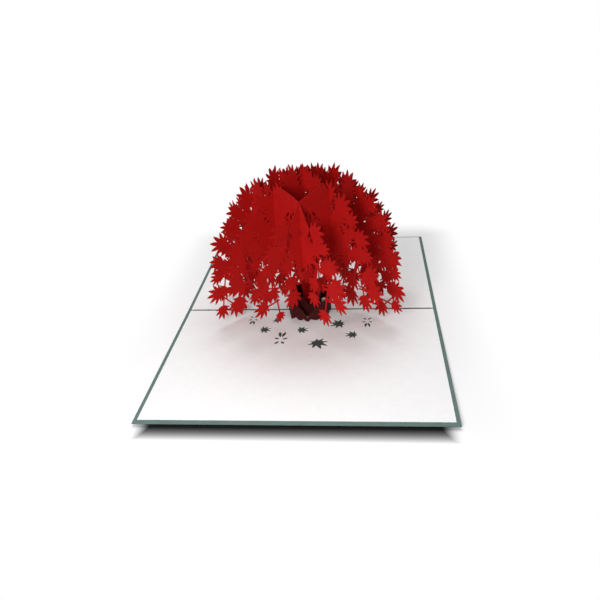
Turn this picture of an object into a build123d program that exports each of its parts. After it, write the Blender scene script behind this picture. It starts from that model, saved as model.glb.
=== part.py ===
from build123d import *
import math
import os

# A pop-up card with a maple tree. Lengths are in millimetres and angles in degrees.
# X runs along the fold, -Y is the front edge, +Z is up and Z = 0 is the table.

# The card: a folded cover with a liner glued inside each panel
panel_width = 200.0
panel_depth = 150.0
cover_paper = 0.4
liner_paper = 0.25
side_margin = 2.6
front_margin = 3.8
back_margin = 1.8
fold_gap = 2.3
front_lift = 0.8

# The crown: flat sheets, slotted together like an egg crate
crown_radius = 79.5
crown_height = 118.0
waist_height = 30.0
plane_spacing = 28.3
plane_angle = 45.0
crown_paper = 0.3
slot_clearance = 0.1

# Lower edge of the solid part of a sheet: heights over the liner
hem_middle = 40.0
hem_over_fold_ends = 13.0
hem_over_panels = 35.0
hem_middle_planes = 31.5
hem_corner_rise = 12.0
hem_fall_start = 0.36
hem_fall_end = 0.74

# Leaves: length from the stalk joint to the tip, and their places on an edge
leaf_length = 11.0
leaf_variation = 0.25
leaf_spacing = 12.6
leaf_turn = 22.0
leaf_droop = 22.0
leaf_base = 0.4
rim_depth = 11.0
rim_gap = 1.0
stalk_length = 4.0
stalk_width = 1.1
stalk_every = 3
hang_spread = 40.0
smallest_gap = 3.0

# Lobes of a leaf: direction and share of its length. Crown leaves are fans, fallen ones stars
fan_lobes = ((-64.0, 0.8), (-32.0, 0.93), (0.0, 1.0), (32.0, 0.93), (64.0, 0.8))
hanging_lobes = ((-96.0, 0.66), *fan_lobes, (96.0, 0.66))
fan_notch = 0.5
star_lobes = (
    (-140.0, 0.8),
    (-94.0, 0.9),
    (-47.0, 0.95),
    (0.0, 1.0),
    (47.0, 0.95),
    (94.0, 0.9),
    (140.0, 0.8),
)
star_notch = 0.6

# Stem of the two middle sheets, which widens into the crown
stem_width = 12.0
stem_flare = 40.0
stem_height = 19.0

# The trunk: two folded sleeves, one inside the other, with petal-shaped tops
trunk_paper = 0.3
outer_half_width = 17.0
outer_half_depth = 21.0
outer_corner_x = 13.5
outer_corner_y = 15.5
outer_peak = 16.5
outer_front_dip = 2.8
outer_side_dip = 9.0
inner_half_width = 9.8
inner_half_depth = 12.6
inner_corner_x = 8.6
inner_corner_y = 9.2
inner_peak = 19.5
inner_front_dip = 10.0
inner_side_dip = 12.0
petal_bulge = 1.6
tooth_pitch = 7.0
tooth_depth = 2.0
tooth_nick = 0.8
tooth_variation = 0.28

# Fallen leaves cut out of the front liner: x, distance from the fold, length, direction
fallen_leaves = (
    (-23.6, 17.6, 4.8, -110.0),
    (-33.3, 33.2, 5.4, 2.0),
    (-4.7, 33.9, 5.5, 4.0),
    (8.6, 52.4, 7.8, -50.0),
    (24.8, 24.3, 7.0, 188.0),
    (35.4, 41.4, 5.5, 180.0),
)
# Fallen leaves cut as separate lobes: the same values
stencil_leaves = (
    (-43.4, 15.4, 9.4, -91.0),
    (-18.6, 49.0, 12.6, 87.0),
    (45.7, 19.6, 10.0, -90.0),
)
# Separate lobes: direction, and shares of the leaf's length where they start and end
stencil_lobes = (
    (-148.0, 0.2, 0.52),
    (-53.0, 0.14, 0.46),
    (-9.0, 0.33, 1.0),
    (9.0, 0.33, 1.0),
    (52.0, 0.14, 0.42),
    (150.0, 0.3, 0.6),
)
stencil_lobe_width = 0.14

card_top = cover_paper + liner_paper
core_steps = 24
golden_step = 0.618034


def smooth_step(start, end, value):
    """Go smoothly from 0 at start to 1 at end."""
    share = min(1.0, max(0.0, (value - start) / (end - start)))
    return share * share * (3 - 2 * share)


def scatter(index, key):
    """Spread leaves evenly between -1 and 1, in a different order for each key."""
    return 2 * ((index * golden_step + key * golden_step * golden_step) % 1.0) - 1


def polar(x, y, angle, length):
    """Point at a length and direction from (x, y)."""
    turn = math.radians(angle)
    return (x + length * math.cos(turn), y + length * math.sin(turn))


def outline(points):
    """Flat face inside a closed run of straight edges."""
    return make_face(Polyline(*points, close=True))


def leaf(x, y, aim, length, lobes, notch):
    """Maple leaf with pointed lobes, from its stalk joint at (x, y)."""
    points = [polar(x, y, aim + 180, length * leaf_base)]
    for (angle, reach), (next_angle, next_reach) in zip(lobes, lobes[1:]):
        points.append(polar(x, y, aim + angle, length * reach))
        between = notch * (reach + next_reach) / 2
        points.append(polar(x, y, aim + (angle + next_angle) / 2, length * between))
    last_angle, last_reach = lobes[-1]
    points.append(polar(x, y, aim + last_angle, length * last_reach))
    return outline(points)


def stalk(x, y, aim, length):
    """Thin strip that runs back from a leaf's joint."""
    end = polar(x, y, aim + 180, length)
    side = stalk_width / 2
    return outline(
        [
            polar(x, y, aim - 90, side),
            polar(x, y, aim + 90, side),
            polar(*end, aim + 90, side),
            polar(*end, aim - 90, side),
        ]
    )


def kite(x, y, angle, start, end, width):
    """Slim pointed face between two distances from (x, y)."""
    middle = polar(x, y, angle, (start + end) / 2)
    return outline(
        [
            polar(x, y, angle, start),
            polar(*middle, angle + 90, width / 2),
            polar(x, y, angle, end),
            polar(*middle, angle - 90, width / 2),
        ]
    )


class CrownSheet:
    """One flat sheet of the crown, drawn in its own plane: s along it, z up from the liner."""

    def __init__(self, row, turn, key):
        self.row = row
        self.turn = turn
        self.key = key
        offset = row * plane_spacing
        share = math.sqrt(1 - (offset / crown_radius) ** 2)
        self.half_width = crown_radius * share
        self.rise = (crown_height - waist_height) * share
        self.is_middle = row == 0

    def hem_low(self, s):
        """Lowest height of the solid part's lower edge on this side."""
        if self.is_middle:
            return hem_middle_planes
        over_panel = s * self.row * self.turn < 0
        return hem_over_panels if over_panel else hem_over_fold_ends

    def hem(self, s):
        """Height of the solid part's lower edge."""
        share = abs(s) / self.half_width
        low = self.hem_low(s)
        fall = (low - hem_middle) * smooth_step(hem_fall_start, hem_fall_end, share)
        return hem_middle + fall + hem_corner_rise * smooth_step(hem_fall_end, 1.0, share)

    def dome(self, angle, inset):
        """Point on the crown's round edge, or inside it."""
        turn = math.radians(angle)
        return (
            (self.half_width - inset) * math.cos(turn),
            waist_height + (self.rise - inset) * math.sin(turn),
        )

    def core(self):
        """Edge of the solid part that carries the leaves, as a closed run of points."""
        upper = [self.dome(180 * i / core_steps, rim_depth) for i in range(core_steps + 1)]
        upper = [(s, z) for s, z in upper if z > self.hem(s)]
        first = upper[-1][0]
        step = 2 * (upper[0][0] - first) / core_steps
        lower = [first + step * i for i in range(core_steps // 2 + 1)]
        return upper + [(s, self.hem(s)) for s in lower]

    def leaf_places(self):
        """Evenly spaced points round the solid part, each with its outward direction."""
        points = self.core()
        sides = list(zip(points, points[1:] + points[:1]))
        total = sum(math.dist(*side) for side in sides)
        spacing = total / round(total / leaf_spacing)
        left = 0.0
        for start, end in sides:
            length = math.dist(start, end)
            outward = math.degrees(math.atan2(end[1] - start[1], end[0] - start[0])) - 90
            while left < length:
                share = left / length
                yield tuple(a + (b - a) * share for a, b in zip(start, end)), outward
                left += spacing
            left -= length

    def leaves(self):
        """Leaves all round the edge, some of the lower ones hanging on stalks."""
        faces = []
        for i, (place, outward) in enumerate(self.leaf_places()):
            points_down = math.cos(math.radians(outward + 90)) > math.cos(math.radians(hang_spread))
            if self.is_middle and points_down and abs(place[0]) < stem_flare / 2:
                continue
            size = leaf_length * (1 + leaf_variation * scatter(i, self.key))
            turn = leaf_turn * scatter(i, self.key + 1)
            joint = polar(*place, outward, rim_gap)
            has_room = place[1] > size + 2 * stalk_length
            off_corner = abs(place[0]) < self.half_width - 2 * rim_depth
            if points_down and has_room and off_corner and i % stalk_every == 1:
                joint = polar(*joint, turn - 90, stalk_length)
                faces.append(stalk(*joint, turn - 90, 2 * stalk_length))
                faces.append(leaf(*joint, turn - 90, size, hanging_lobes, fan_notch))
            else:
                aim = outward - leaf_droop * math.cos(math.radians(outward)) + turn
                faces.append(leaf(*joint, aim, size, fan_lobes, fan_notch))
        return faces

    def stem(self):
        """Foot of a middle sheet, from the liner up into the solid part."""
        half = stem_width / 2
        top = hem_middle + rim_gap
        right = [(half, -card_top), (half, stem_height), (stem_flare / 2, top)]
        left = [(-s, z) for s, z in reversed(right)]
        return outline(right + left)

    def crossings(self):
        """Places along the sheet where the sheets of the other direction pass."""
        along = math.radians(plane_angle)
        for other in (-1, 0, 1):
            across = (self.row - other) / (2 * math.tan(along))
            forward = (self.row + other) * math.tan(along) / 2
            yield plane_spacing * self.turn * (across - forward), math.hypot(
                (self.row - other) / (2 * math.sin(along)),
                (self.row + other) / (2 * math.cos(along)),
            )

    def slots(self):
        """Slots down to half height, where the sheets rest on each other: from the top in
        one direction and from below in the other."""
        crossing = math.radians(2 * plane_angle)
        width = crown_paper * (1 + abs(math.cos(crossing))) / math.sin(crossing)
        width += 2 * slot_clearance
        for s, distance in self.crossings():
            share = math.sqrt(1 - (distance * plane_spacing / crown_radius) ** 2)
            top = waist_height + (crown_height - waist_height) * share
            middle = (hem_middle + top) / 2
            if self.turn > 0:
                low, high = middle, crown_height + leaf_length
            else:
                low, high = -card_top, middle
            yield Pos(s, (low + high) / 2) * Rectangle(width, high - low)

    def build(self):
        """The cut sheet, standing in its place on the card."""
        sheet = outline(self.core()) + self.leaves()
        if self.is_middle:
            sheet += self.stem()
        sheet -= list(self.slots())
        whole = max(sheet.faces(), key=lambda f: f.area)
        gaps = [w for w in whole.inner_wires() if Face(w).area > smallest_gap]
        face = Face(whole.outer_wire(), gaps)
        along = math.radians(plane_angle * self.turn)
        facing = Vector(math.sin(along), -math.cos(along), 0)
        place = Plane(
            origin=facing * (self.row * plane_spacing) + Vector(0, 0, card_top),
            x_dir=(math.cos(along), math.sin(along), 0),
            z_dir=facing,
        )
        solid = extrude(place * face, amount=crown_paper / 2, both=True)
        return solid - under_liners() if self.is_middle else solid


def panel_profile(height):
    """Side view of both panels up to a height over the underside of the cover."""
    lift = math.radians(front_lift)
    front_low = (-panel_depth * math.cos(lift), panel_depth * math.sin(lift))
    front_high = (
        front_low[0] + height * math.sin(lift),
        front_low[1] + height * math.cos(lift),
    )
    inner_fold = (height * math.tan(lift / 2), height)
    return [
        (0, 0),
        (panel_depth, 0),
        (panel_depth, height),
        inner_fold,
        front_high,
        front_low,
    ]


def folded_sheet(height):
    """Sheet of the card's full size, folded along X."""
    return extrude(Plane.YZ * outline(panel_profile(height)), amount=panel_width / 2, both=True)


def under_liners():
    """Everything below the top of the liners."""
    surface = panel_profile(card_top)[2:5]
    below = [(surface[-1][0], -panel_depth), (panel_depth, -panel_depth)]
    return extrude(Plane.YZ * outline(surface + below), amount=panel_width / 2, both=True)


def liner(depth_margin):
    """White sheet for one panel, lying flat with its fold edge towards -Y."""
    depth = panel_depth - depth_margin - fold_gap / 2
    corner = (0, fold_gap / 2, cover_paper)
    size = (panel_width - 2 * side_margin, depth, liner_paper)
    return Pos(*corner) * Box(*size, align=(Align.CENTER, Align.MIN, Align.MIN))


def stencil_leaf(x, y, aim, length):
    """Leaf cut as separate lobes round a bare middle."""
    width = length * stencil_lobe_width
    return [
        kite(x, y, aim + angle, length * start, length * end, width)
        for angle, start, end in stencil_lobes
    ]


def front_liner():
    """Front liner with the fallen leaves cut out, lifted with its panel."""
    openings = [
        leaf(x, -y, aim, size, star_lobes, star_notch) for x, y, size, aim in fallen_leaves
    ]
    for x, y, size, aim in stencil_leaves:
        openings += stencil_leaf(x, -y, aim, size)
    sheet = mirror(liner(front_margin), about=Plane.XZ)
    cutters = extrude(Sketch() + openings, amount=2 * card_top)
    return Rot(-front_lift, 0, 0) * (sheet - cutters)


def petal_notch(reach, dip, peak):
    """Opening between two petals: a V with round sides, from its lowest point up."""
    slope = math.hypot(reach, peak - dip)
    middle_x = reach / 2 - petal_bulge * (peak - dip) / slope
    middle_z = (dip + peak) / 2 + petal_bulge * reach / slope
    right = ThreePointArc((0, dip), (middle_x, middle_z), (reach, peak))
    left = ThreePointArc((0, dip), (-middle_x, middle_z), (-reach, peak))
    top = peak + tooth_pitch
    lid = Polyline((-reach, peak), (-reach, top), (reach, top), (reach, peak))
    return make_face([right, left, lid])


def root_notches(reach):
    """Row of pointed nicks along the bottom edge."""
    count = round(2 * reach / tooth_pitch)
    pitch = 2 * reach / count
    for i in range(count):
        x = -reach + pitch * (i + 0.5)
        half = pitch / 2 * tooth_nick * (1 + tooth_variation * scatter(i, 1))
        yield outline(
            [
                (x - half, card_top),
                (x + half, card_top),
                (x + half * scatter(i, 2) / 2, card_top + tooth_depth),
            ]
        )


def sleeve(half_width, half_depth, corner_x, corner_y, peak, front_dip, side_dip):
    """Folded tube with eight walls, petals at its four corners and toothed roots."""
    plan = outline(
        [
            (0, -half_depth),
            (corner_x, -corner_y),
            (half_width, 0),
            (corner_x, corner_y),
            (0, half_depth),
            (-corner_x, corner_y),
            (-half_width, 0),
            (-corner_x, -corner_y),
        ]
    )
    wall = plan - offset(plan, -trunk_paper, kind=Kind.INTERSECTION)
    tube = extrude(wall, amount=card_top + peak)
    lift = Pos(0, card_top)
    across = [lift * petal_notch(corner_x, front_dip, peak)] + list(root_notches(corner_x))
    along = [lift * petal_notch(corner_y, side_dip, peak)] + list(root_notches(corner_y))
    tube -= extrude(Plane.XZ * (Sketch() + across), amount=2 * half_depth, both=True)
    tube -= extrude(Plane.YZ * (Sketch() + along), amount=2 * half_width, both=True)
    return tube - under_liners()


crown_rows = {"front": 1, "middle": 0, "back": -1}
crown_turns = {"a": 1, "b": -1}

parts = {
    "cover": folded_sheet(cover_paper),
    "liner_front": front_liner(),
    "liner_back": liner(back_margin),
    "trunk_outer_sleeve": sleeve(
        outer_half_width,
        outer_half_depth,
        outer_corner_x,
        outer_corner_y,
        outer_peak,
        outer_front_dip,
        outer_side_dip,
    ),
    "trunk_inner_sleeve": sleeve(
        inner_half_width,
        inner_half_depth,
        inner_corner_x,
        inner_corner_y,
        inner_peak,
        inner_front_dip,
        inner_side_dip,
    ),
}
for turn_name, turn in crown_turns.items():
    for row_name, row in crown_rows.items():
        key = 3 * turn + row
        parts[f"crown_{turn_name}_{row_name}"] = CrownSheet(row, turn, key).build()

os.makedirs("parts", exist_ok=True)
for name, solid in parts.items():
    export_step(solid, f"parts/{name}.step")
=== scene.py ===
"""Looks for the maple pop-up card: its sheets cut leaf by leaf, its papers, the light and the camera."""

import math

import bmesh
import bpy
from mathutils import Euler, Matrix, Vector
from mathutils.geometry import delaunay_2d_cdt


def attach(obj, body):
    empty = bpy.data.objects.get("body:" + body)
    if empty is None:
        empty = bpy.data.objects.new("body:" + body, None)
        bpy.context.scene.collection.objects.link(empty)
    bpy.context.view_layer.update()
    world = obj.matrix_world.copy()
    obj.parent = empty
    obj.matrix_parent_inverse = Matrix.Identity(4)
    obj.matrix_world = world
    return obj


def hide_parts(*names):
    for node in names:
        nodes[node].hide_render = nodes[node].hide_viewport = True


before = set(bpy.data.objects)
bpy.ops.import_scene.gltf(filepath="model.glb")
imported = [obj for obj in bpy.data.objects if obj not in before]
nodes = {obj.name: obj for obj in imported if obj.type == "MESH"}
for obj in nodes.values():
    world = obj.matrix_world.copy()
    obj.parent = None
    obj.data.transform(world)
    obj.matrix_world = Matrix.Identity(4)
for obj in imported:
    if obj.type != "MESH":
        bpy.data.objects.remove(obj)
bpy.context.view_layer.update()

MM = 0.001

# The card, in millimetres, as it was built
CARD_HALF_WIDTH = 100.0
PANEL_DEPTH = 150.0
CARD_TOP = 0.65
CROWN_RADIUS = 79.5
CROWN_HEIGHT = 118.0
WAIST_HEIGHT = 30.0
PLANE_SPACING = 28.3
PLANE_ANGLE = 45.0
CROWN_PAPER = 0.3
SLOT_WIDTH = 0.5
ROWS = (("front", 1), ("middle", 0), ("back", -1))
TURNS = (("a", 1), ("b", -1))

# Lower edge of the solid part of a crown sheet
HEM_MIDDLE = 40.0
HEM_OVER_FOLD_ENDS = 13.0
HEM_OVER_PANELS = 35.0
HEM_MIDDLE_PLANES = 31.5
HEM_CORNER_RISE = 7.0
HEM_FALL_START = 0.36
HEM_FALL_END = 0.74

# Leaves along the edge of a sheet
LEAF_LENGTH = 11.0
LEAF_VARIATION = 0.25
LEAF_SPACING = 12.6
LEAF_TURN = 22.0
LEAF_DROOP = 22.0
RIM_DEPTH = 11.0
RIM_GAP = 1.0
EDGE_STEPS = 24
# Sine of the slope from which an edge counts as facing up or down
STEEP = 0.5

# Stalks: every leaf has one, and every second leaf on the lower edge hangs on a longer one,
# where there is room and the edge is near level. None hangs this near the middle of the trunk
STALK_WIDTH = 1.1
STALK_ROOT = 2.0
STALK_LENGTH = 8.0
STALK_EVERY = 2
HANGING_SIZE = 0.8
HANG_SPREAD = 40.0
TRUNK_VIEW = 9.0

# Stem of a middle sheet
STEM_WIDTH = 12.0
STEM_FLARE = 40.0
STEM_HEIGHT = 19.0

# Scatter of leaves and gaps: step between neighbours, and between the keys of rows and rings
GOLDEN_STEP = 0.618034
ROW_KEYS = 5
RING_KEYS = 3

# One leaf: directions and lengths of its fingers, and the fingers' own form
FINGERS = ((-88, 0.64), (-58, 0.82), (-28, 0.94), (0, 1.0), (28, 0.94), (58, 0.82), (88, 0.64))
PALM = 0.52
FINGER_FORM = ((0.62, 0.125), (0.76, 0.1), (0.89, 0.055))
LEAF_BACK = ((120, 0.34), (180, 0.22), (-120, 0.34))

# Rows of leaves from the edge inwards: distance from the round edge and from the lower edge,
# length of the leaves and their spacing. The solid part of the sheet starts at the last row
LEAF_ROWS = (
    (0.0, 0.0, LEAF_LENGTH, LEAF_SPACING),
    (5.0, 12.0, 10.5, 16.0),
    (10.0, 24.0, LEAF_LENGTH, 13.5),
)
CORE_INSET, CORE_LIFT = LEAF_ROWS[-1][:2]
# Slim gaps cut through the solid part, in rings: both distances, as above, and the spacing.
# Each place has a fan of one to three gaps
CUT_RINGS = ((14.0, 26.0, 16.0), (26.0, 29.0, 18.0))
CUT_FAN = (-38, 0, 38)
CUT_FAN_MIDDLE = 1.5
CUT_FAN_VARIATION = 1.4
CUT_TURN = 50.0
CUT_LENGTH = 3.4
CUT_WIDTH = 1.2
# Ends of the slots, past the paper
SLOT_TOP = CROWN_HEIGHT + 2 * LEAF_LENGTH
SLOT_FOOT = -CARD_TOP - 1

# Points closer than this are one, and faces that differ by less, in radians, are one face
SAME_POINT = 1e-4
SAME_PLANE = 0.001

# Plain stretch of a front sheet's upper edge, beside the hollow in the top of the crown
SHOULDER = (-38.0, 4.0)
# Between these places it has no leaves
SHOULDER_BARE = (-34.0, -9.0)
SHOULDER_STEPS = 16
SHOULDER_INSET = 2.0
SHOULDER_ENDS = 0.24
SHOULDER_DEPTH = 20.0
# Slim gaps below it: place along the sheet, height and direction
SHOULDER_CUTS = (
    (-22.0, 93.0, 70),
    (-19.0, 91.0, 100),
    (-15.5, 92.0, 130),
    (-12.0, 80.0, 60),
    (-8.5, 79.0, 100),
    (-37.0, 82.0, 110),
    (-40.0, 79.0, 70),
    (-44.0, 66.0, 100),
    (-47.0, 63.0, 60),
    (-35.0, 58.0, 80),
)
SHOULDER_CUT_SIZE = (6.0, 1.7)

# The front liner, and the fallen leaves cut out of it: x, distance from the fold, length, direction
LINER_HALF_WIDTH = 97.4
LINER_NEAR_FOLD = 1.15
LINER_FRONT = 146.2
LINER_UNDER = 0.4
LINER_PAPER = 0.25
FRONT_LIFT = 0.8
FALLEN_LEAVES = (
    (-23.6, 17.6, 5.4, -110),
    (-33.3, 33.2, 6.2, 2),
    (-4.7, 33.9, 6.2, 4),
    (8.6, 52.4, 9.0, -50),
    (24.8, 24.3, 8.0, 188),
    (35.4, 41.4, 6.4, 180),
)
FALLEN_FINGERS = (
    (-142, 0.62),
    (-98, 0.86),
    (-58, 0.98),
    (-19, 1.12),
    (19, 1.12),
    (58, 0.98),
    (98, 0.86),
    (142, 0.62),
)
FALLEN_BACK = ((180, 0.3),)
# Leaves of separate lobes: direction of each lobe, and where it starts and ends
STENCIL_LEAVES = ((-43.4, 15.4, 9.8, -91), (-18.6, 49.0, 13.0, 87), (45.7, 19.6, 10.6, -90))
STENCIL_LOBES = (
    (-148, 0.14, 0.5),
    (-53, 0.12, 0.5),
    (-10, 0.3, 1.0),
    (10, 0.3, 1.0),
    (52, 0.12, 0.48),
    (150, 0.14, 0.54),
)
STENCIL_WIDTH = 0.17

# Papers: size of the clouds in their colour, and height of their fibres. Real fibres are about
# 0.03 mm wide, too fine to show, so each paper's own fibre size is drawn coarser
CLOUD_SIZE = 6.0
CLOUD_RANGE = (0.3, 0.7)
FIBRE_HEIGHT = 0.05
PAPER_IOR = 1.5
PAPER_SPECULAR = 0.1
# Half width and depth of the part of the card that the liners cover. The card's colour is drawn a darker
# green there
COVERED_HALF_WIDTH = 95.0
COVERED_DEPTH = 142.0

# Floor: half its size in metres, width of its fade to white, and the painted shadow along the lifted
# front edge, drawn into the floor's colour by position: how far it reaches forward and under the
# card, its soft ends and its brightness
FLOOR_SIZE = 6.0
FLOOR_FADE = 40.0
FLOOR_GREY = "#8a8a8a"
PAINTED_SHADE_REACH = 13.0
PAINTED_SHADE_UNDER = 50.0
PAINTED_SHADE_END = 12.0
PAINTED_SHADE_DARKEST = 0.32
PAINTED_SHADE_CURVE = 3.4

# Light: strength of the surroundings, and each lamp's name, place, target, width and power
WHITE = (1, 1, 1, 1)
SURROUND_LIGHT = 0.2
SURROUND_SEEN = 1.0
LAMPS = (
    ("overhead", (0, 0.4, 1.25), (0, 0, 0), 1.4, 10.7),
    ("front", (-0.11, -0.53, 0.26), (0, 0, 0.05), 0.25, 2.1),
)

# Camera, in metres, degrees and, for the lens and its sensor, millimetres
CAMERA_PLACE = (0.04428, -0.46417, 0.25079)
CAMERA_TURN = (62.586, 3.108, 4.769)
CAMERA_LENS = 39.503
CAMERA_SENSOR = 36.0
CAMERA_CLIP = (0.01, 50.0)


def smooth_step(start, end, value):
    """Go smoothly from 0 at start to 1 at end."""
    share = min(1.0, max(0.0, (value - start) / (end - start)))
    return share * share * (3 - 2 * share)


def scatter(index, key):
    """Spread leaves evenly between -1 and 1, in a different order for each key."""
    return 2 * ((index * GOLDEN_STEP + key * GOLDEN_STEP * GOLDEN_STEP) % 1.0) - 1


def polar(x, y, angle, length):
    """Point at a length and direction from (x, y)."""
    turn = math.radians(angle)
    return (x + length * math.cos(turn), y + length * math.sin(turn))


def leaf_outline(x, y, aim, length, fingers=FINGERS, back=LEAF_BACK):
    """Maple leaf with pointed fingers, from its joint at (x, y)."""
    points = []
    for i, (angle, reach) in enumerate(fingers):
        if i:
            between = (fingers[i - 1][0] + angle) / 2
            notch = length * PALM * (fingers[i - 1][1] + reach) / 2
            points.append(polar(x, y, aim + between, notch))
        way = aim + angle
        tip = length * reach
        for share, half in FINGER_FORM:
            points.append(polar(*polar(x, y, way, tip * share), way - 90, tip * half))
        points.append(polar(x, y, way, tip))
        for share, half in reversed(FINGER_FORM):
            points.append(polar(*polar(x, y, way, tip * share), way + 90, tip * half))
    return points + [polar(x, y, aim + angle, length * reach) for angle, reach in back]


def droop(outward):
    """Direction of a leaf that hangs a little from its edge."""
    return outward - LEAF_DROOP * math.cos(math.radians(outward))


def strip_outline(start, end, width):
    """Straight strip between two points."""
    aim = math.degrees(math.atan2(end[1] - start[1], end[0] - start[0]))
    half = width / 2
    return [
        polar(*start, aim - 90, half),
        polar(*end, aim - 90, half),
        polar(*end, aim + 90, half),
        polar(*start, aim + 90, half),
    ]


def slit_outline(x, y, aim, length, width):
    """Slim opening with pointed ends."""
    half = width / 2
    rear_widest = polar(x, y, aim, -length / 6)
    front_widest = polar(x, y, aim, length / 6)
    return [
        polar(x, y, aim, -length / 2),
        polar(*rear_widest, aim - 90, half),
        polar(*front_widest, aim - 90, half),
        polar(x, y, aim, length / 2),
        polar(*front_widest, aim + 90, half),
        polar(*rear_widest, aim + 90, half),
    ]


class CrownSheet:
    """One flat sheet of the crown, drawn in its own plane: s along it, z up from the liner."""

    def __init__(self, row, turn):
        self.row = row
        self.turn = turn
        self.key = len(ROWS) * turn + row
        share = math.sqrt(1 - (row * PLANE_SPACING / CROWN_RADIUS) ** 2)
        self.half_width = CROWN_RADIUS * share
        self.rise = (CROWN_HEIGHT - WAIST_HEIGHT) * share
        self.is_front = row == 1
        self.is_middle = row == 0

    def hem(self, s):
        """Height of the solid part's lower edge."""
        if self.is_middle:
            low = HEM_MIDDLE_PLANES
        else:
            low = HEM_OVER_PANELS if s * self.row * self.turn < 0 else HEM_OVER_FOLD_ENDS
        share = abs(s) / self.half_width
        fall = (low - HEM_MIDDLE) * smooth_step(HEM_FALL_START, HEM_FALL_END, share)
        return HEM_MIDDLE + fall + HEM_CORNER_RISE * smooth_step(HEM_FALL_END, 1.0, share)

    def edge(self, inset, lift):
        """Closed line inside the sheet, at a distance from its round edge and from its lower edge."""
        upper = []
        for i in range(EDGE_STEPS + 1):
            turn = math.pi * i / EDGE_STEPS
            s = (self.half_width - RIM_DEPTH - inset) * math.cos(turn)
            z = WAIST_HEIGHT + (self.rise - RIM_DEPTH - inset) * math.sin(turn)
            if z > self.hem(s) + lift:
                upper.append((s, z))
        first = upper[-1][0]
        step = 2 * (upper[0][0] - first) / EDGE_STEPS
        lower = [first + step * i for i in range(EDGE_STEPS // 2 + 1)]
        return upper + [(s, self.hem(s) + lift) for s in lower]

    def places(self, edge, wanted_spacing):
        """Evenly spaced points along a closed edge, each with its outward direction."""
        sides = list(zip(edge, edge[1:] + edge[:1]))
        total = sum(math.dist(*side) for side in sides)
        spacing = total / round(total / wanted_spacing)
        left = 0.0
        for start, end in sides:
            length = math.dist(start, end)
            outward = math.degrees(math.atan2(end[1] - start[1], end[0] - start[0])) - 90
            while left < length:
                share = left / length
                yield tuple(a + (b - a) * share for a, b in zip(start, end)), outward
                left += spacing
            left -= length

    def faces_down(self, outward):
        """Whether a direction points below the sheet."""
        return math.sin(math.radians(outward)) < -STEEP

    def at_stem(self, place, outward):
        """Whether a place on the lower edge is where the stem goes up."""
        return self.is_middle and self.faces_down(outward) and abs(place[0]) < STEM_FLARE / 2

    def before_trunk(self, place, outward):
        """Whether a place on the lower edge is in front of the trunk, where the front sheets cross."""
        crossing = -PLANE_SPACING * self.turn
        return self.is_front and self.faces_down(outward) and abs(place[0] - crossing) < TRUNK_VIEW

    def on_shoulder(self, place, outward):
        """Whether a place is on the plain stretch of a front sheet's upper edge."""
        faces_up = math.sin(math.radians(outward)) > STEEP
        start, end = SHOULDER_BARE
        return self.is_front and faces_up and start < place[0] * self.turn < end

    def shoulder(self):
        """The plain stretch itself, down into the solid part."""
        start, end = SHOULDER
        upper = []
        for i in range(SHOULDER_STEPS + 1):
            share = i / SHOULDER_STEPS
            s = self.turn * (start + (end - start) * share)
            from_end = smooth_step(0, SHOULDER_ENDS, min(share, 1 - share))
            inset = RIM_DEPTH + (SHOULDER_INSET - RIM_DEPTH) * from_end
            height = math.sqrt(1 - (s / (self.half_width - inset)) ** 2)
            upper.append((s, WAIST_HEIGHT + (self.rise - inset) * height))
        around = upper + [(s, z - SHOULDER_DEPTH) for s, z in reversed(upper)]
        return around if self.turn < 0 else around[::-1]

    def can_hang(self, place, outward, size):
        """Whether a leaf on the lower edge has room to hang on a stalk."""
        hangs_free = math.cos(math.radians(outward + 90)) > math.cos(math.radians(HANG_SPREAD))
        off_corner = abs(place[0]) < self.half_width - 2 * RIM_DEPTH
        return hangs_free and off_corner and place[1] > size + 2 * STALK_LENGTH

    def paper_outlines(self):
        """Everything that stays after cutting: the solid part, its leaves and the stem."""
        outlines = [self.edge(CORE_INSET, CORE_LIFT)]
        for row, (inset, lift, length, spacing) in enumerate(LEAF_ROWS):
            key = self.key + ROW_KEYS * row
            for i, (place, outward) in enumerate(self.places(self.edge(inset, lift), spacing)):
                if self.at_stem(place, outward) or self.on_shoulder(place, outward):
                    continue
                if row == 0 and self.before_trunk(place, outward):
                    continue
                size = length * (1 + LEAF_VARIATION * scatter(i, key))
                turn = LEAF_TURN * scatter(i, key + 1)
                aim = droop(outward) + turn
                joint = polar(*place, outward, RIM_GAP)
                if row == 0 and i % STALK_EVERY == 1 and self.can_hang(place, outward, size):
                    size *= HANGING_SIZE
                    aim = turn - 90
                    joint = polar(*joint, aim, STALK_LENGTH)
                depth = CORE_LIFT - lift if self.faces_down(outward) else CORE_INSET - inset
                root = polar(*place, outward, -depth - STALK_ROOT)
                palm = polar(*joint, aim, size / 3)
                outlines.append(leaf_outline(*joint, aim, size))
                outlines.append(strip_outline(root, palm, STALK_WIDTH))
        if self.is_front:
            outlines.append(self.shoulder())
        if self.is_middle:
            half = STEM_WIDTH / 2
            top = HEM_MIDDLE + CORE_LIFT + RIM_GAP
            right = [(half, -CARD_TOP), (half, STEM_HEIGHT), (STEM_FLARE / 2, top)]
            outlines.append(right + [(-s, z) for s, z in reversed(right)])
        return outlines

    def crossings(self):
        """Places along the sheet where the sheets of the other direction pass."""
        along = math.radians(PLANE_ANGLE)
        for _, other in reversed(ROWS):
            across = (self.row - other) / (2 * math.tan(along))
            forward = (self.row + other) * math.tan(along) / 2
            distance = math.hypot(
                (self.row - other) / (2 * math.sin(along)),
                (self.row + other) / (2 * math.cos(along)),
            )
            yield PLANE_SPACING * self.turn * (across - forward), distance * PLANE_SPACING

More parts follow.
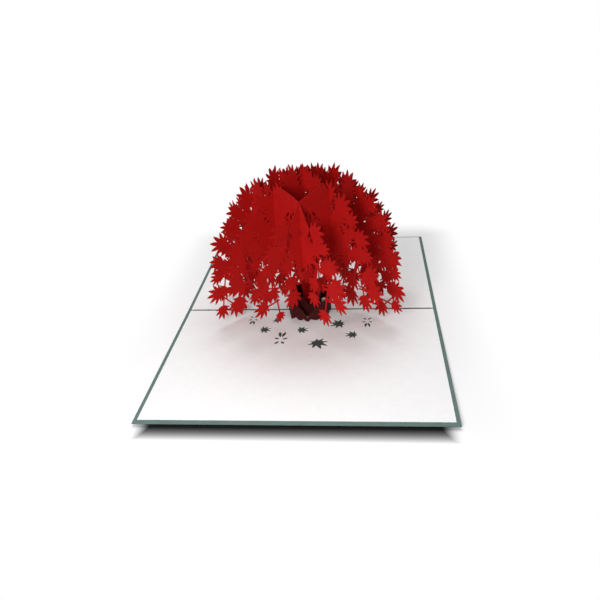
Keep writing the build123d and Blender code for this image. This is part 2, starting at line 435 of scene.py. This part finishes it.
    def cut_outlines(self):
        """What is cut away: the slots and the slim gaps between leaves."""
        outlines = []
        for s, distance in self.crossings():
            share = math.sqrt(1 - (distance / CROWN_RADIUS) ** 2)
            middle = (HEM_MIDDLE + WAIST_HEIGHT + (CROWN_HEIGHT - WAIST_HEIGHT) * share) / 2
            end = SLOT_TOP if self.turn > 0 else SLOT_FOOT
            outlines.append(strip_outline((s, middle), (s, end), SLOT_WIDTH))
        if self.is_front:
            for s, z, aim in SHOULDER_CUTS:
                across = aim if self.turn > 0 else 180 - aim
                outlines.append(slit_outline(s * self.turn, z, across, *SHOULDER_CUT_SIZE))
        slots = [s for s, _ in self.crossings()]
        for ring, (inset, lift, spacing) in enumerate(CUT_RINGS, 1):
            for i, (place, outward) in enumerate(self.places(self.edge(inset, lift), spacing)):
                if self.at_stem(place, outward):
                    continue
                aim = outward + CUT_TURN * scatter(i, self.key + ring)
                more = CUT_FAN_MIDDLE + CUT_FAN_VARIATION * scatter(i, self.key + RING_KEYS * ring)
                for fan in CUT_FAN[: 1 + int(more)]:
                    spot = polar(*place, aim + fan, CUT_LENGTH)
                    if min(abs(spot[0] - s) for s in slots) > CUT_LENGTH:
                        outlines.append(slit_outline(*spot, aim + fan, CUT_LENGTH, CUT_WIDTH))
        return outlines

    def build(self, name):
        """The sheet with its thickness, in its place on the card."""
        bm = cut_sheet(self.paper_outlines(), self.cut_outlines(), CROWN_PAPER)
        bmesh.ops.translate(bm, verts=bm.verts, vec=(0, 0, -CROWN_PAPER / 2))
        along = math.radians(PLANE_ANGLE * self.turn)
        facing = Vector((math.sin(along), -math.cos(along), 0))
        place = Matrix.Identity(4)
        place.col[0][:3] = (math.cos(along), math.sin(along), 0)
        place.col[1][:3] = (0, 0, 1)
        place.col[2][:3] = facing
        place.col[3][:3] = facing * self.row * PLANE_SPACING + Vector((0, 0, CARD_TOP))
        bmesh.ops.transform(bm, matrix=Matrix.Scale(MM, 4) @ place, verts=bm.verts)
        return finish_piece(bm, name)


def keep_largest(bm):
    """Delete what the cuts have left loose."""
    waiting, parts = set(bm.faces), []
    while waiting:
        part, edge_faces = [], [waiting.pop()]
        while edge_faces:
            face = edge_faces.pop()
            part.append(face)
            for edge in face.edges:
                for other in edge.link_faces:
                    if other in waiting:
                        waiting.remove(other)
                        edge_faces.append(other)
        parts.append(part)
    parts.sort(key=lambda part: sum(f.calc_area() for f in part))
    loose = [f for part in parts[:-1] for f in part]
    bmesh.ops.delete(bm, geom=loose, context="FACES")
    lone = [v for v in bm.verts if not v.link_faces]
    bmesh.ops.delete(bm, geom=lone, context="VERTS")


def cut_sheet(outlines, cuts, thickness):
    """Flat sheet on the XY plane: what lies inside the outlines and outside the cuts."""
    points, faces = [], []
    for outline in outlines + cuts:
        faces.append(list(range(len(points), len(points) + len(outline))))
        points += [Vector(p) for p in outline]
    verts, _, tris, _, _, sources = delaunay_2d_cdt(points, [], faces, 1, SAME_POINT)
    bm = bmesh.new()
    made = [bm.verts.new((v.x, v.y, 0)) for v in verts]
    for tri, source in zip(tris, sources):
        if source and max(source) < len(outlines):
            bm.faces.new([made[i] for i in tri])
    keep_largest(bm)
    bmesh.ops.dissolve_limit(bm, angle_limit=SAME_PLANE, verts=bm.verts, edges=bm.edges)
    bmesh.ops.triangulate(bm, faces=bm.faces)
    walls = bmesh.ops.extrude_face_region(bm, geom=bm.faces[:])
    moved = [v for v in walls["geom"] if isinstance(v, bmesh.types.BMVert)]
    bmesh.ops.translate(bm, verts=moved, vec=(0, 0, thickness))
    bmesh.ops.recalc_face_normals(bm, faces=bm.faces)
    return bm


def front_liner():
    """Front liner with its fallen leaves, lifted with its panel."""
    half, near, far = LINER_HALF_WIDTH, -LINER_NEAR_FOLD, -LINER_FRONT
    sheet = [(-half, far), (half, far), (half, near), (-half, near)]
    cuts = []
    for x, y, length, aim in FALLEN_LEAVES:
        cuts.append(leaf_outline(x, -y, aim, length, FALLEN_FINGERS, FALLEN_BACK))
    for x, y, length, aim in STENCIL_LEAVES:
        for angle, start, end in STENCIL_LOBES:
            way = aim + angle
            spot = polar(x, -y, way, length * (start + end) / 2)
            size = length * (end - start), length * STENCIL_WIDTH
            cuts.append(slit_outline(*spot, way, *size))
    bm = cut_sheet([sheet], cuts, LINER_PAPER)
    on_cover = Matrix.Translation((0, 0, LINER_UNDER))
    lift = Matrix.Rotation(math.radians(-FRONT_LIFT), 4, "X")
    bmesh.ops.transform(bm, matrix=Matrix.Scale(MM, 4) @ lift @ on_cover, verts=bm.verts)
    return finish_piece(bm, "fallen_leaf_liner")


def finish_piece(bm, name):
    """Turn a bmesh into an object of the card."""
    mesh = bpy.data.meshes.new(name)
    bm.to_mesh(mesh)
    bm.free()
    piece = bpy.data.objects.new(name, mesh)
    bpy.context.scene.collection.objects.link(piece)
    return piece


def colour(text):
    """sRGB hex value to linear RGBA."""
    channels = [int(text[i : i + 2], 16) / 255 for i in (1, 3, 5)]
    linear = [c / 12.92 if c <= 0.04045 else ((c + 0.055) / 1.055) ** 2.4 for c in channels]
    return (*linear, 1.0)


def add(tree, kind, inputs=None, **settings):
    """Add a shader node with its settings. Each input gets a value, or a link where it is a socket."""
    node = tree.nodes.new(kind)
    for name, value in settings.items():
        setattr(node, name, value)
    for name, value in (inputs or {}).items():
        if isinstance(value, bpy.types.NodeSocket):
            tree.links.new(value, node.inputs[name])
        else:
            node.inputs[name].default_value = value
    return node


def empty_tree(owner):
    """Node tree of a new material or world, with nothing in it yet."""
    owner.use_nodes = True
    owner.node_tree.nodes.clear()
    return owner.node_tree


def past_edges(tree, place, half_width, half_depth):
    """How far a place is past the sides of a rectangle about the origin: below 0 inside it."""
    side = add(tree, "ShaderNodeVectorMath", {0: place}, operation="ABSOLUTE").outputs["Vector"]
    reach = (half_width * MM, half_depth * MM, 0)
    past = add(tree, "ShaderNodeVectorMath", {0: side, 1: reach}, operation="SUBTRACT")
    return past.outputs["Vector"]


def under_liners(tree, place):
    """1 where the liners lie on the card's upper face, and 0 elsewhere."""
    past = past_edges(tree, place, COVERED_HALF_WIDTH, COVERED_DEPTH)
    parts = add(tree, "ShaderNodeSeparateXYZ", {"Vector": past}).outputs
    farthest = add(tree, "ShaderNodeMath", {0: parts["X"], 1: parts["Y"]}, operation="MAXIMUM")
    inside = add(tree, "ShaderNodeMath", {0: farthest.outputs[0], 1: 0}, operation="LESS_THAN")
    normal = add(tree, "ShaderNodeNewGeometry").outputs["Normal"]
    upward = add(tree, "ShaderNodeSeparateXYZ", {"Vector": normal}).outputs["Z"]
    both = add(tree, "ShaderNodeMath", {0: inside.outputs[0], 1: upward}, operation="MULTIPLY")
    return both.outputs[0]


def paper(name, light, dark, roughness, fibre_size, relief, covered=None):
    """Uncoated dyed paper: a soft even colour, faint clouds in it, and a fine felt of fibres."""
    material = bpy.data.materials.new(name)
    tree = empty_tree(material)
    place = add(tree, "ShaderNodeTexCoord").outputs["Object"]
    cloud_inputs = {"Vector": place, "Scale": 1 / (CLOUD_SIZE * MM), "Detail": 4, "Roughness": 0.6}
    clouds = add(tree, "ShaderNodeTexNoise", cloud_inputs)
    fibre_inputs = {"Vector": place, "Scale": 1 / (fibre_size * MM), "Detail": 3}
    fibres = add(tree, "ShaderNodeTexNoise", fibre_inputs)
    ramp = add(tree, "ShaderNodeValToRGB", {"Fac": clouds.outputs["Fac"]})
    for stop, position, shade in zip(ramp.color_ramp.elements, CLOUD_RANGE, (dark, light)):
        stop.position = position
        stop.color = colour(shade)
    tint = ramp.outputs["Color"]
    if covered:
        tint_inputs = {"Fac": under_liners(tree, place), "Color1": tint, "Color2": colour(covered)}
        tint = add(tree, "ShaderNodeMixRGB", tint_inputs).outputs["Color"]
    felt_inputs = {"Height": fibres.outputs["Fac"], "Strength": relief, "Distance": FIBRE_HEIGHT * MM}
    felt = add(tree, "ShaderNodeBump", felt_inputs)
    shader_inputs = {
        "Base Color": tint,
        "Normal": felt.outputs["Normal"],
        "Roughness": roughness,
        "IOR": PAPER_IOR,
        "Specular IOR Level": PAPER_SPECULAR,
    }
    shader = add(tree, "ShaderNodeBsdfPrincipled", shader_inputs)
    add(tree, "ShaderNodeOutputMaterial", {"Surface": shader.outputs["BSDF"]})
    return material


def dress(piece, material):
    """Give a piece one material."""
    piece.data.materials.clear()
    piece.data.materials.append(material)


red_paper = paper("red_dyed_paper", "#b81614", "#ad1311", roughness=0.7, fibre_size=0.35, relief=0.5)
maroon_paper = paper(
    "maroon_dyed_paper", "#4a1716", "#3d1112", roughness=0.7, fibre_size=0.35, relief=0.5
)
white_paper = paper("white_wove_paper", "#fbfbfb", "#f7f7f7", roughness=0.75, fibre_size=0.4, relief=0.4)
green_card = paper(
    "grey_green_card", "#6a7f7b", "#637773", roughness=0.7, fibre_size=0.5, relief=0.5, covered="#49524f"
)

dress(nodes["cover"], green_card)
dress(nodes["liner_back"], white_paper)
dress(nodes["trunk_outer_sleeve"], maroon_paper)
dress(nodes["trunk_inner_sleeve"], maroon_paper)

fallen_leaf_liner = front_liner()
dress(fallen_leaf_liner, white_paper)
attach(fallen_leaf_liner, "root")
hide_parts("liner_front")

for turn_name, turn in TURNS:
    for row_name, row in ROWS:
        node = f"crown_{turn_name}_{row_name}"
        sheet = CrownSheet(row, turn).build(f"leaf_sheet_{turn_name}_{row_name}")
        dress(sheet, red_paper)
        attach(sheet, "root")
        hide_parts(node)


def lamp(name, place, target, size, power):
    """Round soft box light."""
    data = bpy.data.lights.new(name, "AREA")
    data.shape = "DISK"
    data.size = size
    data.energy = power
    light = bpy.data.objects.new(name, data)
    light.location = place
    light.rotation_euler = (Vector(target) - Vector(place)).to_track_quat("-Z", "Y").to_euler()
    bpy.context.scene.collection.objects.link(light)


def painted_front_shadow(tree, place, past):
    """Brightness of the floor in the painted shadow along the card's lifted front edge, drawn by position
    and not cast by the lamps: 1 outside it.
    """
    forward = add(tree, "ShaderNodeSeparateXYZ", {"Vector": place}).outputs["Y"]
    across = add(tree, "ShaderNodeSeparateXYZ", {"Vector": past}).outputs["X"]
    depth_inputs = {
        "Value": forward,
        "From Min": -PANEL_DEPTH * MM,
        "From Max": -(PANEL_DEPTH + PAINTED_SHADE_REACH) * MM,
        "To Min": PAINTED_SHADE_DARKEST,
    }
    depth = add(tree, "ShaderNodeMapRange", depth_inputs).outputs["Result"]
    soft = add(tree, "ShaderNodeMath", {0: depth, 1: PAINTED_SHADE_CURVE}, operation="POWER").outputs[0]
    end_inputs = {"Value": across, "From Min": -PAINTED_SHADE_END * MM, "From Max": 0}
    ends = add(tree, "ShaderNodeMapRange", end_inputs, interpolation_type="SMOOTHSTEP").outputs["Result"]
    rear_inputs = {0: forward, 1: (PAINTED_SHADE_UNDER - PANEL_DEPTH) * MM}
    rear = add(tree, "ShaderNodeMath", rear_inputs, operation="GREATER_THAN").outputs[0]
    clear = add(tree, "ShaderNodeMath", {0: ends, 1: rear}, operation="MAXIMUM").outputs[0]
    return add(tree, "ShaderNodeMath", {0: soft, 1: clear}, operation="MAXIMUM").outputs[0]


def table_top():
    """Pale floor under the card, with a painted shadow along the card's front edge. It fades to white away
    from the card, and gives back little light.
    """
    bm = bmesh.new()
    bmesh.ops.create_grid(bm, x_segments=1, y_segments=1, size=FLOOR_SIZE)
    floor = finish_piece(bm, "floor")
    material = bpy.data.materials.new("pale_floor")
    tree = empty_tree(material)
    place = add(tree, "ShaderNodeTexCoord").outputs["Object"]
    past = past_edges(tree, place, CARD_HALF_WIDTH, PANEL_DEPTH)
    off = add(tree, "ShaderNodeVectorMath", {0: past, 1: (0, 0, 0)}, operation="MAXIMUM").outputs["Vector"]
    away = add(tree, "ShaderNodeVectorMath", {0: off}, operation="LENGTH").outputs["Value"]
    fade_inputs = {"Value": away, "From Min": 0, "From Max": FLOOR_FADE * MM}
    fade = add(tree, "ShaderNodeMapRange", fade_inputs, interpolation_type="SMOOTHSTEP").outputs["Result"]
    # Painted shadow along the card's front edge: the floor's colour is darkened there by position, not by
    # the lamps
    shade = painted_front_shadow(tree, place, past)
    white = add(tree, "ShaderNodeMath", {0: fade, 1: shade}, operation="MULTIPLY").outputs[0]
    near = add(tree, "ShaderNodeBsdfDiffuse", {"Color": shade}).outputs[0]
    far = add(tree, "ShaderNodeEmission", {"Color": WHITE, "Strength": 1}).outputs[0]
    seen = add(tree, "ShaderNodeMixShader", {0: white, 1: near, 2: far}).outputs[0]
    dull = add(tree, "ShaderNodeBsdfDiffuse", {"Color": colour(FLOOR_GREY)}).outputs[0]
    to_camera = add(tree, "ShaderNodeLightPath").outputs["Is Camera Ray"]
    both = add(tree, "ShaderNodeMixShader", {0: to_camera, 1: dull, 2: seen}).outputs[0]
    add(tree, "ShaderNodeOutputMaterial", {"Surface": both})
    dress(floor, material)


def studio():
    """White surroundings, a large soft lamp overhead and a small one in front."""
    world = bpy.data.worlds.new("studio")
    bpy.context.scene.world = world
    tree = empty_tree(world)
    to_camera = add(tree, "ShaderNodeLightPath").outputs["Is Camera Ray"]
    strength_inputs = {"Value": to_camera, "To Min": SURROUND_LIGHT, "To Max": SURROUND_SEEN}
    strength = add(tree, "ShaderNodeMapRange", strength_inputs).outputs["Result"]
    back = add(tree, "ShaderNodeBackground", {"Color": WHITE, "Strength": strength})
    add(tree, "ShaderNodeOutputWorld", {"Surface": back.outputs["Background"]})
    for lamp_values in LAMPS:
        lamp(*lamp_values)


def camera():
    """The photograph's place and direction of view."""
    data = bpy.data.cameras.new("camera")
    data.sensor_width = CAMERA_SENSOR
    data.lens = CAMERA_LENS
    data.clip_start, data.clip_end = CAMERA_CLIP
    view = bpy.data.objects.new("camera", data)
    turn = Euler([math.radians(angle) for angle in CAMERA_TURN])
    view.matrix_world = Matrix.Translation(CAMERA_PLACE) @ turn.to_matrix().to_4x4()
    bpy.context.scene.collection.objects.link(view)
    bpy.context.scene.camera = view


table_top()
studio()
camera()
bpy.context.scene.view_settings.view_transform = "Standard"
